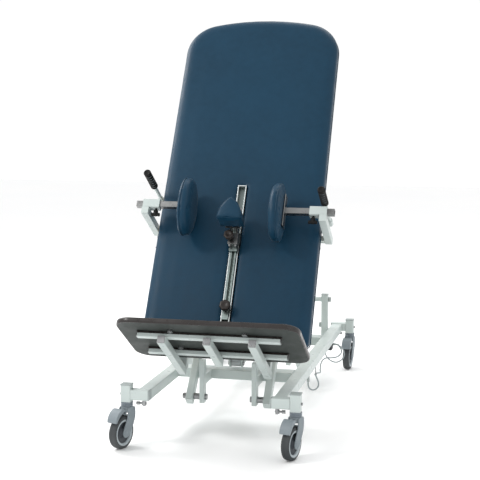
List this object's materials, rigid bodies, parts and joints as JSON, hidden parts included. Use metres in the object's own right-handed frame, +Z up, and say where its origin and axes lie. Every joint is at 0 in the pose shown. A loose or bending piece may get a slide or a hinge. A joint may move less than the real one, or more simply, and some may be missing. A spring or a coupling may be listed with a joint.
{
  "type": "tilt table",
  "caption": "Powered tilt table on braked castors: padded top tilting about its foot end, parallelogram lift, footboard, pommel, side pads and hand grips.",
  "frame": {"origin": "on the floor, in the middle of the object's outline", "axes": "+X to the right seen from the foot end, +Y from the foot end to the head end, +Z up"},
  "size_m": [0.82, 1.6911, 1.688],
  "materials": {
    "frame_paint": "satin",
    "castor_grey": "satin",
    "tyre_rubber": "matte",
    "cap_grey": "satin",
    "dark_plastic": "satin",
    "black_plastic": "satin",
    "black_rubber": "matte",
    "zinc_steel": "satin",
    "bar_steel": "satin",
    "bright_steel": "polished",
    "actuator_grey": "satin",
    "cable_grey": "satin",
    "vinyl": "satin",
    "plywood": "matte",
    "channel_aluminium": "satin",
    "footboard_charcoal": "matte"
  },
  "bodies": {
    "base": {"base_side_rails": "frame_paint", "base_cross_beams": "frame_paint", "castor_brackets": "frame_paint", "tube_caps": "cap_grey", "castor_stems": "castor_grey", "rear_uprights": "frame_paint", "base_fasteners": "zinc_steel", "control_box": "dark_plastic", "cable_socket": "dark_plastic", "handset_cable": "cable_grey"},
    "fork_front_left": {"castor_fork_front_left": "castor_grey"},
    "wheel_front_left": {"castor_wheel_front_left": "tyre_rubber"},
    "pedal_front_left": {"castor_pedal_front_left": "castor_grey"},
    "fork_front_right": {"castor_fork_front_right": "castor_grey"},
    "wheel_front_right": {"castor_wheel_front_right": "tyre_rubber"},
    "pedal_front_right": {"castor_pedal_front_right": "castor_grey"},
    "fork_rear_left": {"castor_fork_rear_left": "castor_grey"},
    "wheel_rear_left": {"castor_wheel_rear_left": "tyre_rubber"},
    "pedal_rear_left": {"castor_pedal_rear_left": "castor_grey"},
    "fork_rear_right": {"castor_fork_rear_right": "castor_grey"},
    "wheel_rear_right": {"castor_wheel_rear_right": "tyre_rubber"},
    "pedal_rear_right": {"castor_pedal_rear_right": "castor_grey"},
    "front_legs": {"front_leg_frame": "frame_paint"},
    "rear_legs": {"rear_leg_frame": "frame_paint"},
    "carriage": {"carriage": "frame_paint", "carriage_pins": "zinc_steel"},
    "lift_actuator": {"lift_actuator_housing": "actuator_grey", "lift_actuator_motor": "dark_plastic"},
    "lift_rod": {"lift_actuator_rod": "bright_steel"},
    "table": {"table_frame": "frame_paint", "table_board": "plywood", "upholstery": "vinyl", "centre_channel": "channel_aluminium"},
    "tilt_actuator": {"tilt_actuator_housing": "actuator_grey", "tilt_actuator_motor": "dark_plastic"},
    "tilt_rod": {"tilt_actuator_rod": "bright_steel"},
    "footboard": {"footboard": "footboard_charcoal", "footboard_frame": "frame_paint", "footboard_fixings": "zinc_steel"},
    "pommel_slider": {"pommel_slider": "channel_aluminium"},
    "pommel_post": {"pommel_bracket": "bar_steel", "pommel_pad": "vinyl"},
    "pommel_lower_knob": {"pommel_lower_knob": "black_plastic"},
    "pommel_upper_knob": {"pommel_upper_knob": "black_plastic"},
    "side_arm_left": {"side_arm_left": "frame_paint"},
    "side_bar_left": {"side_bar_left": "bar_steel", "side_pad_left": "vinyl"},
    "side_bar_knob_left": {"side_bar_knob_left": "black_plastic"},
    "side_arm_knob_left": {"side_arm_knob_left": "black_plastic"},
    "grip_left": {"grip_rod_left": "frame_paint", "grip_left": "black_rubber"},
    "grip_knob_left": {"grip_knob_left": "black_plastic"},
    "side_arm_right": {"side_arm_right": "frame_paint"},
    "side_bar_right": {"side_bar_right": "bar_steel", "side_pad_right": "vinyl"},
    "side_bar_knob_right": {"side_bar_knob_right": "black_plastic"},
    "side_arm_knob_right": {"side_arm_knob_right": "black_plastic"},
    "grip_right": {"grip_rod_right": "frame_paint", "grip_right": "black_rubber"},
    "grip_knob_right": {"grip_knob_right": "black_plastic"}
  },
  "joints": [
    {"name": "castor_swivel_front_left", "type": "hinge", "parent": "base", "child": "fork_front_left", "pos_m": [-0.329, -0.7425, 0.16], "axis": [0, 0, 1], "continuous": true},
    {"name": "wheel_spin_front_left", "type": "hinge", "parent": "fork_front_left", "child": "wheel_front_left", "pos_m": [-0.34074, -0.77864, 0.0625], "axis": [0.9511, -0.309, 0], "continuous": true},
    {"name": "brake_pedal_front_left", "type": "hinge", "parent": "fork_front_left", "child": "pedal_front_left", "pos_m": [-0.33889, -0.77293, 0.147], "axis": [0.9511, -0.309, 0], "range_deg": [0, 6]},
    {"name": "castor_swivel_front_right", "type": "hinge", "parent": "base", "child": "fork_front_right", "pos_m": [0.329, -0.7425, 0.16], "axis": [0, 0, 1], "continuous": true},
    {"name": "wheel_spin_front_right", "type": "hinge", "parent": "fork_front_right", "child": "wheel_front_right", "pos_m": [0.31916, -0.77921, 0.0625], "axis": [0.9659, -0.2588, 0], "continuous": true},
    {"name": "brake_pedal_front_right", "type": "hinge", "parent": "fork_front_right", "child": "pedal_front_right", "pos_m": [0.32072, -0.77341, 0.147], "axis": [0.9659, -0.2588, 0], "range_deg": [0, 6]},
    {"name": "castor_swivel_rear_left", "type": "hinge", "parent": "base", "child": "fork_rear_left", "pos_m": [-0.329, 0.8205, 0.16], "axis": [0, 0, 1], "continuous": true},
    {"name": "wheel_spin_rear_left", "type": "hinge", "parent": "fork_rear_left", "child": "wheel_rear_left", "pos_m": [-0.33429, 0.78287, 0.0625], "axis": [0.9903, -0.1392, 0], "continuous": true},
    {"name": "brake_pedal_rear_left", "type": "hinge", "parent": "fork_rear_left", "child": "pedal_rear_left", "pos_m": [-0.33345, 0.78881, 0.147], "axis": [0.9903, -0.1392, 0], "range_deg": [0, 6]},
    {"name": "castor_swivel_rear_right", "type": "hinge", "parent": "base", "child": "fork_rear_right", "pos_m": [0.329, 0.8205, 0.16], "axis": [0, 0, 1], "continuous": true},
    {"name": "wheel_spin_rear_right", "type": "hinge", "parent": "fork_rear_right", "child": "wheel_rear_right", "pos_m": [0.32635, 0.78259, 0.0625], "axis": [0.9976, -0.0698, 0], "continuous": true},
    {"name": "brake_pedal_rear_right", "type": "hinge", "parent": "fork_rear_right", "child": "pedal_rear_right", "pos_m": [0.32677, 0.78858, 0.147], "axis": [0.9976, -0.0698, 0], "range_deg": [0, 6]},
    {"name": "lift", "type": "hinge", "parent": "base", "child": "front_legs", "pos_m": [0, -0.431, 0.13], "axis": [1, 0, 0], "range_deg": [0, 37]},
    {"name": "rear_leg_swing", "type": "hinge", "parent": "base", "child": "rear_legs", "pos_m": [0, 0.33, 0.13], "axis": [1, 0, 0], "range_deg": [0, 37.1]},
    {"name": "carriage_level", "type": "hinge", "parent": "front_legs", "child": "carriage", "pos_m": [0, -0.1428, 0.45007], "axis": [1, 0, 0], "range_deg": [-37.1, 0]},
    {"name": "lift_housing_swing", "type": "hinge", "parent": "base", "child": "lift_actuator", "pos_m": [0, 0.405, 0.2], "axis": [1, 0, 0], "range_deg": [-8, 1]},
    {"name": "lift_rod_slide", "type": "slide", "parent": "lift_actuator", "child": "lift_rod", "axis": [0, -0.979, 0.204], "range_m": [-0.001, 0.19]},
    {"name": "tilt", "type": "hinge", "parent": "carriage", "child": "table", "pos_m": [0, -0.3621, 0.50877], "axis": [1, 0, 0], "range_deg": [-58.45, 16]},
    {"name": "tilt_housing_swing", "type": "hinge", "parent": "carriage", "child": "tilt_actuator", "pos_m": [0, -0.29, 0.245], "axis": [1, 0, 0], "range_deg": [-11, 4.5]},
    {"name": "tilt_rod_slide", "type": "slide", "parent": "tilt_actuator", "child": "tilt_rod", "axis": [0, 0.0196, 0.9998], "range_m": [-0.1, 0.035]},
    {"name": "footboard_slide", "type": "slide", "parent": "table", "child": "footboard", "axis": [0, -0.5232, -0.8522], "range_m": [0, 0.05]},
    {"name": "pommel_slide", "type": "slide", "parent": "table", "child": "pommel_slider", "axis": [0, 0.5232, 0.8522], "range_m": [-0.02, 0.2]},
    {"name": "pommel_height", "type": "slide", "parent": "pommel_slider", "child": "pommel_post", "axis": [0, -0.8522, 0.5232], "range_m": [0, 0.02]},
    {"name": "pommel_lower_knob_turn", "type": "hinge", "parent": "pommel_slider", "child": "pommel_lower_knob", "pos_m": [0, -0.49936, 0.5203], "axis": [0, -0.8522, 0.5232], "continuous": true},
    {"name": "pommel_upper_knob_turn", "type": "hinge", "parent": "pommel_post", "child": "pommel_upper_knob", "pos_m": [-0.014, -0.37214, 0.78483], "axis": [0, -0.8522, 0.5232], "continuous": true},
    {"name": "side_arm_slide_left", "type": "slide", "parent": "table", "child": "side_arm_left", "axis": [-1, 0, 0], "range_m": [0, 0.06]},
    {"name": "side_bar_slide_left", "type": "slide", "parent": "side_arm_left", "child": "side_bar_left", "axis": [1, 0, 0], "range_m": [-0.07, 0.06]},
    {"name": "side_bar_knob_turn_left", "type": "hinge", "parent": "side_arm_left", "child": "side_bar_knob_left", "pos_m": [-0.326, -0.35794, 0.8653], "axis": [0, -0.5232, -0.8522], "continuous": true},
    {"name": "side_arm_knob_turn_left", "type": "hinge", "parent": "table", "child": "side_arm_knob_left", "pos_m": [-0.318, -0.21768, 0.74398], "axis": [0, -0.5232, -0.8522], "continuous": true},
    {"name": "grip_slide_left", "type": "slide", "parent": "table", "child": "grip_left", "axis": [-1, 0, 0], "range_m": [0, 0.06]},
    {"name": "grip_knob_turn_left", "type": "hinge", "parent": "table", "child": "grip_knob_left", "pos_m": [-0.318, -0.14234, 0.86669], "axis": [0, -0.5232, -0.8522], "continuous": true},
    {"name": "side_arm_slide_right", "type": "slide", "parent": "table", "child": "side_arm_right", "axis": [1, 0, 0], "range_m": [0, 0.06]},
    {"name": "side_bar_slide_right", "type": "slide", "parent": "side_arm_right", "child": "side_bar_right", "axis": [-1, 0, 0], "range_m": [-0.07, 0.06]},
    {"name": "side_bar_knob_turn_right", "type": "hinge", "parent": "side_arm_right", "child": "side_bar_knob_right", "pos_m": [0.326, -0.36683, 0.85081], "axis": [0, -0.5232, -0.8522], "continuous": true},
    {"name": "side_arm_knob_turn_right", "type": "hinge", "parent": "table", "child": "side_arm_knob_right", "pos_m": [0.318, -0.22658, 0.72949], "axis": [0, -0.5232, -0.8522], "continuous": true},
    {"name": "grip_slide_right", "type": "slide", "parent": "table", "child": "grip_right", "axis": [1, 0, 0], "range_m": [0, 0.06]},
    {"name": "grip_knob_turn_right", "type": "hinge", "parent": "table", "child": "grip_knob_right", "pos_m": [0.318, -0.18577, 0.79596], "axis": [0, -0.5232, -0.8522], "continuous": true}
  ],
  "couplings": [
    {"joint": "rear_leg_swing", "follows": "lift", "ratio": 1},
    {"joint": "carriage_level", "follows": "lift", "ratio": -1},
    {"joint": "lift_housing_swing", "follows": "lift", "ratio": -0.1613},
    {"joint": "lift_rod_slide", "follows": "lift", "m_per_rad": 0.2779},
    {"joint": "tilt_housing_swing", "follows": "tilt", "ratio": 0.1711},
    {"joint": "tilt_rod_slide", "follows": "tilt", "m_per_rad": 0.0954}
  ]
}
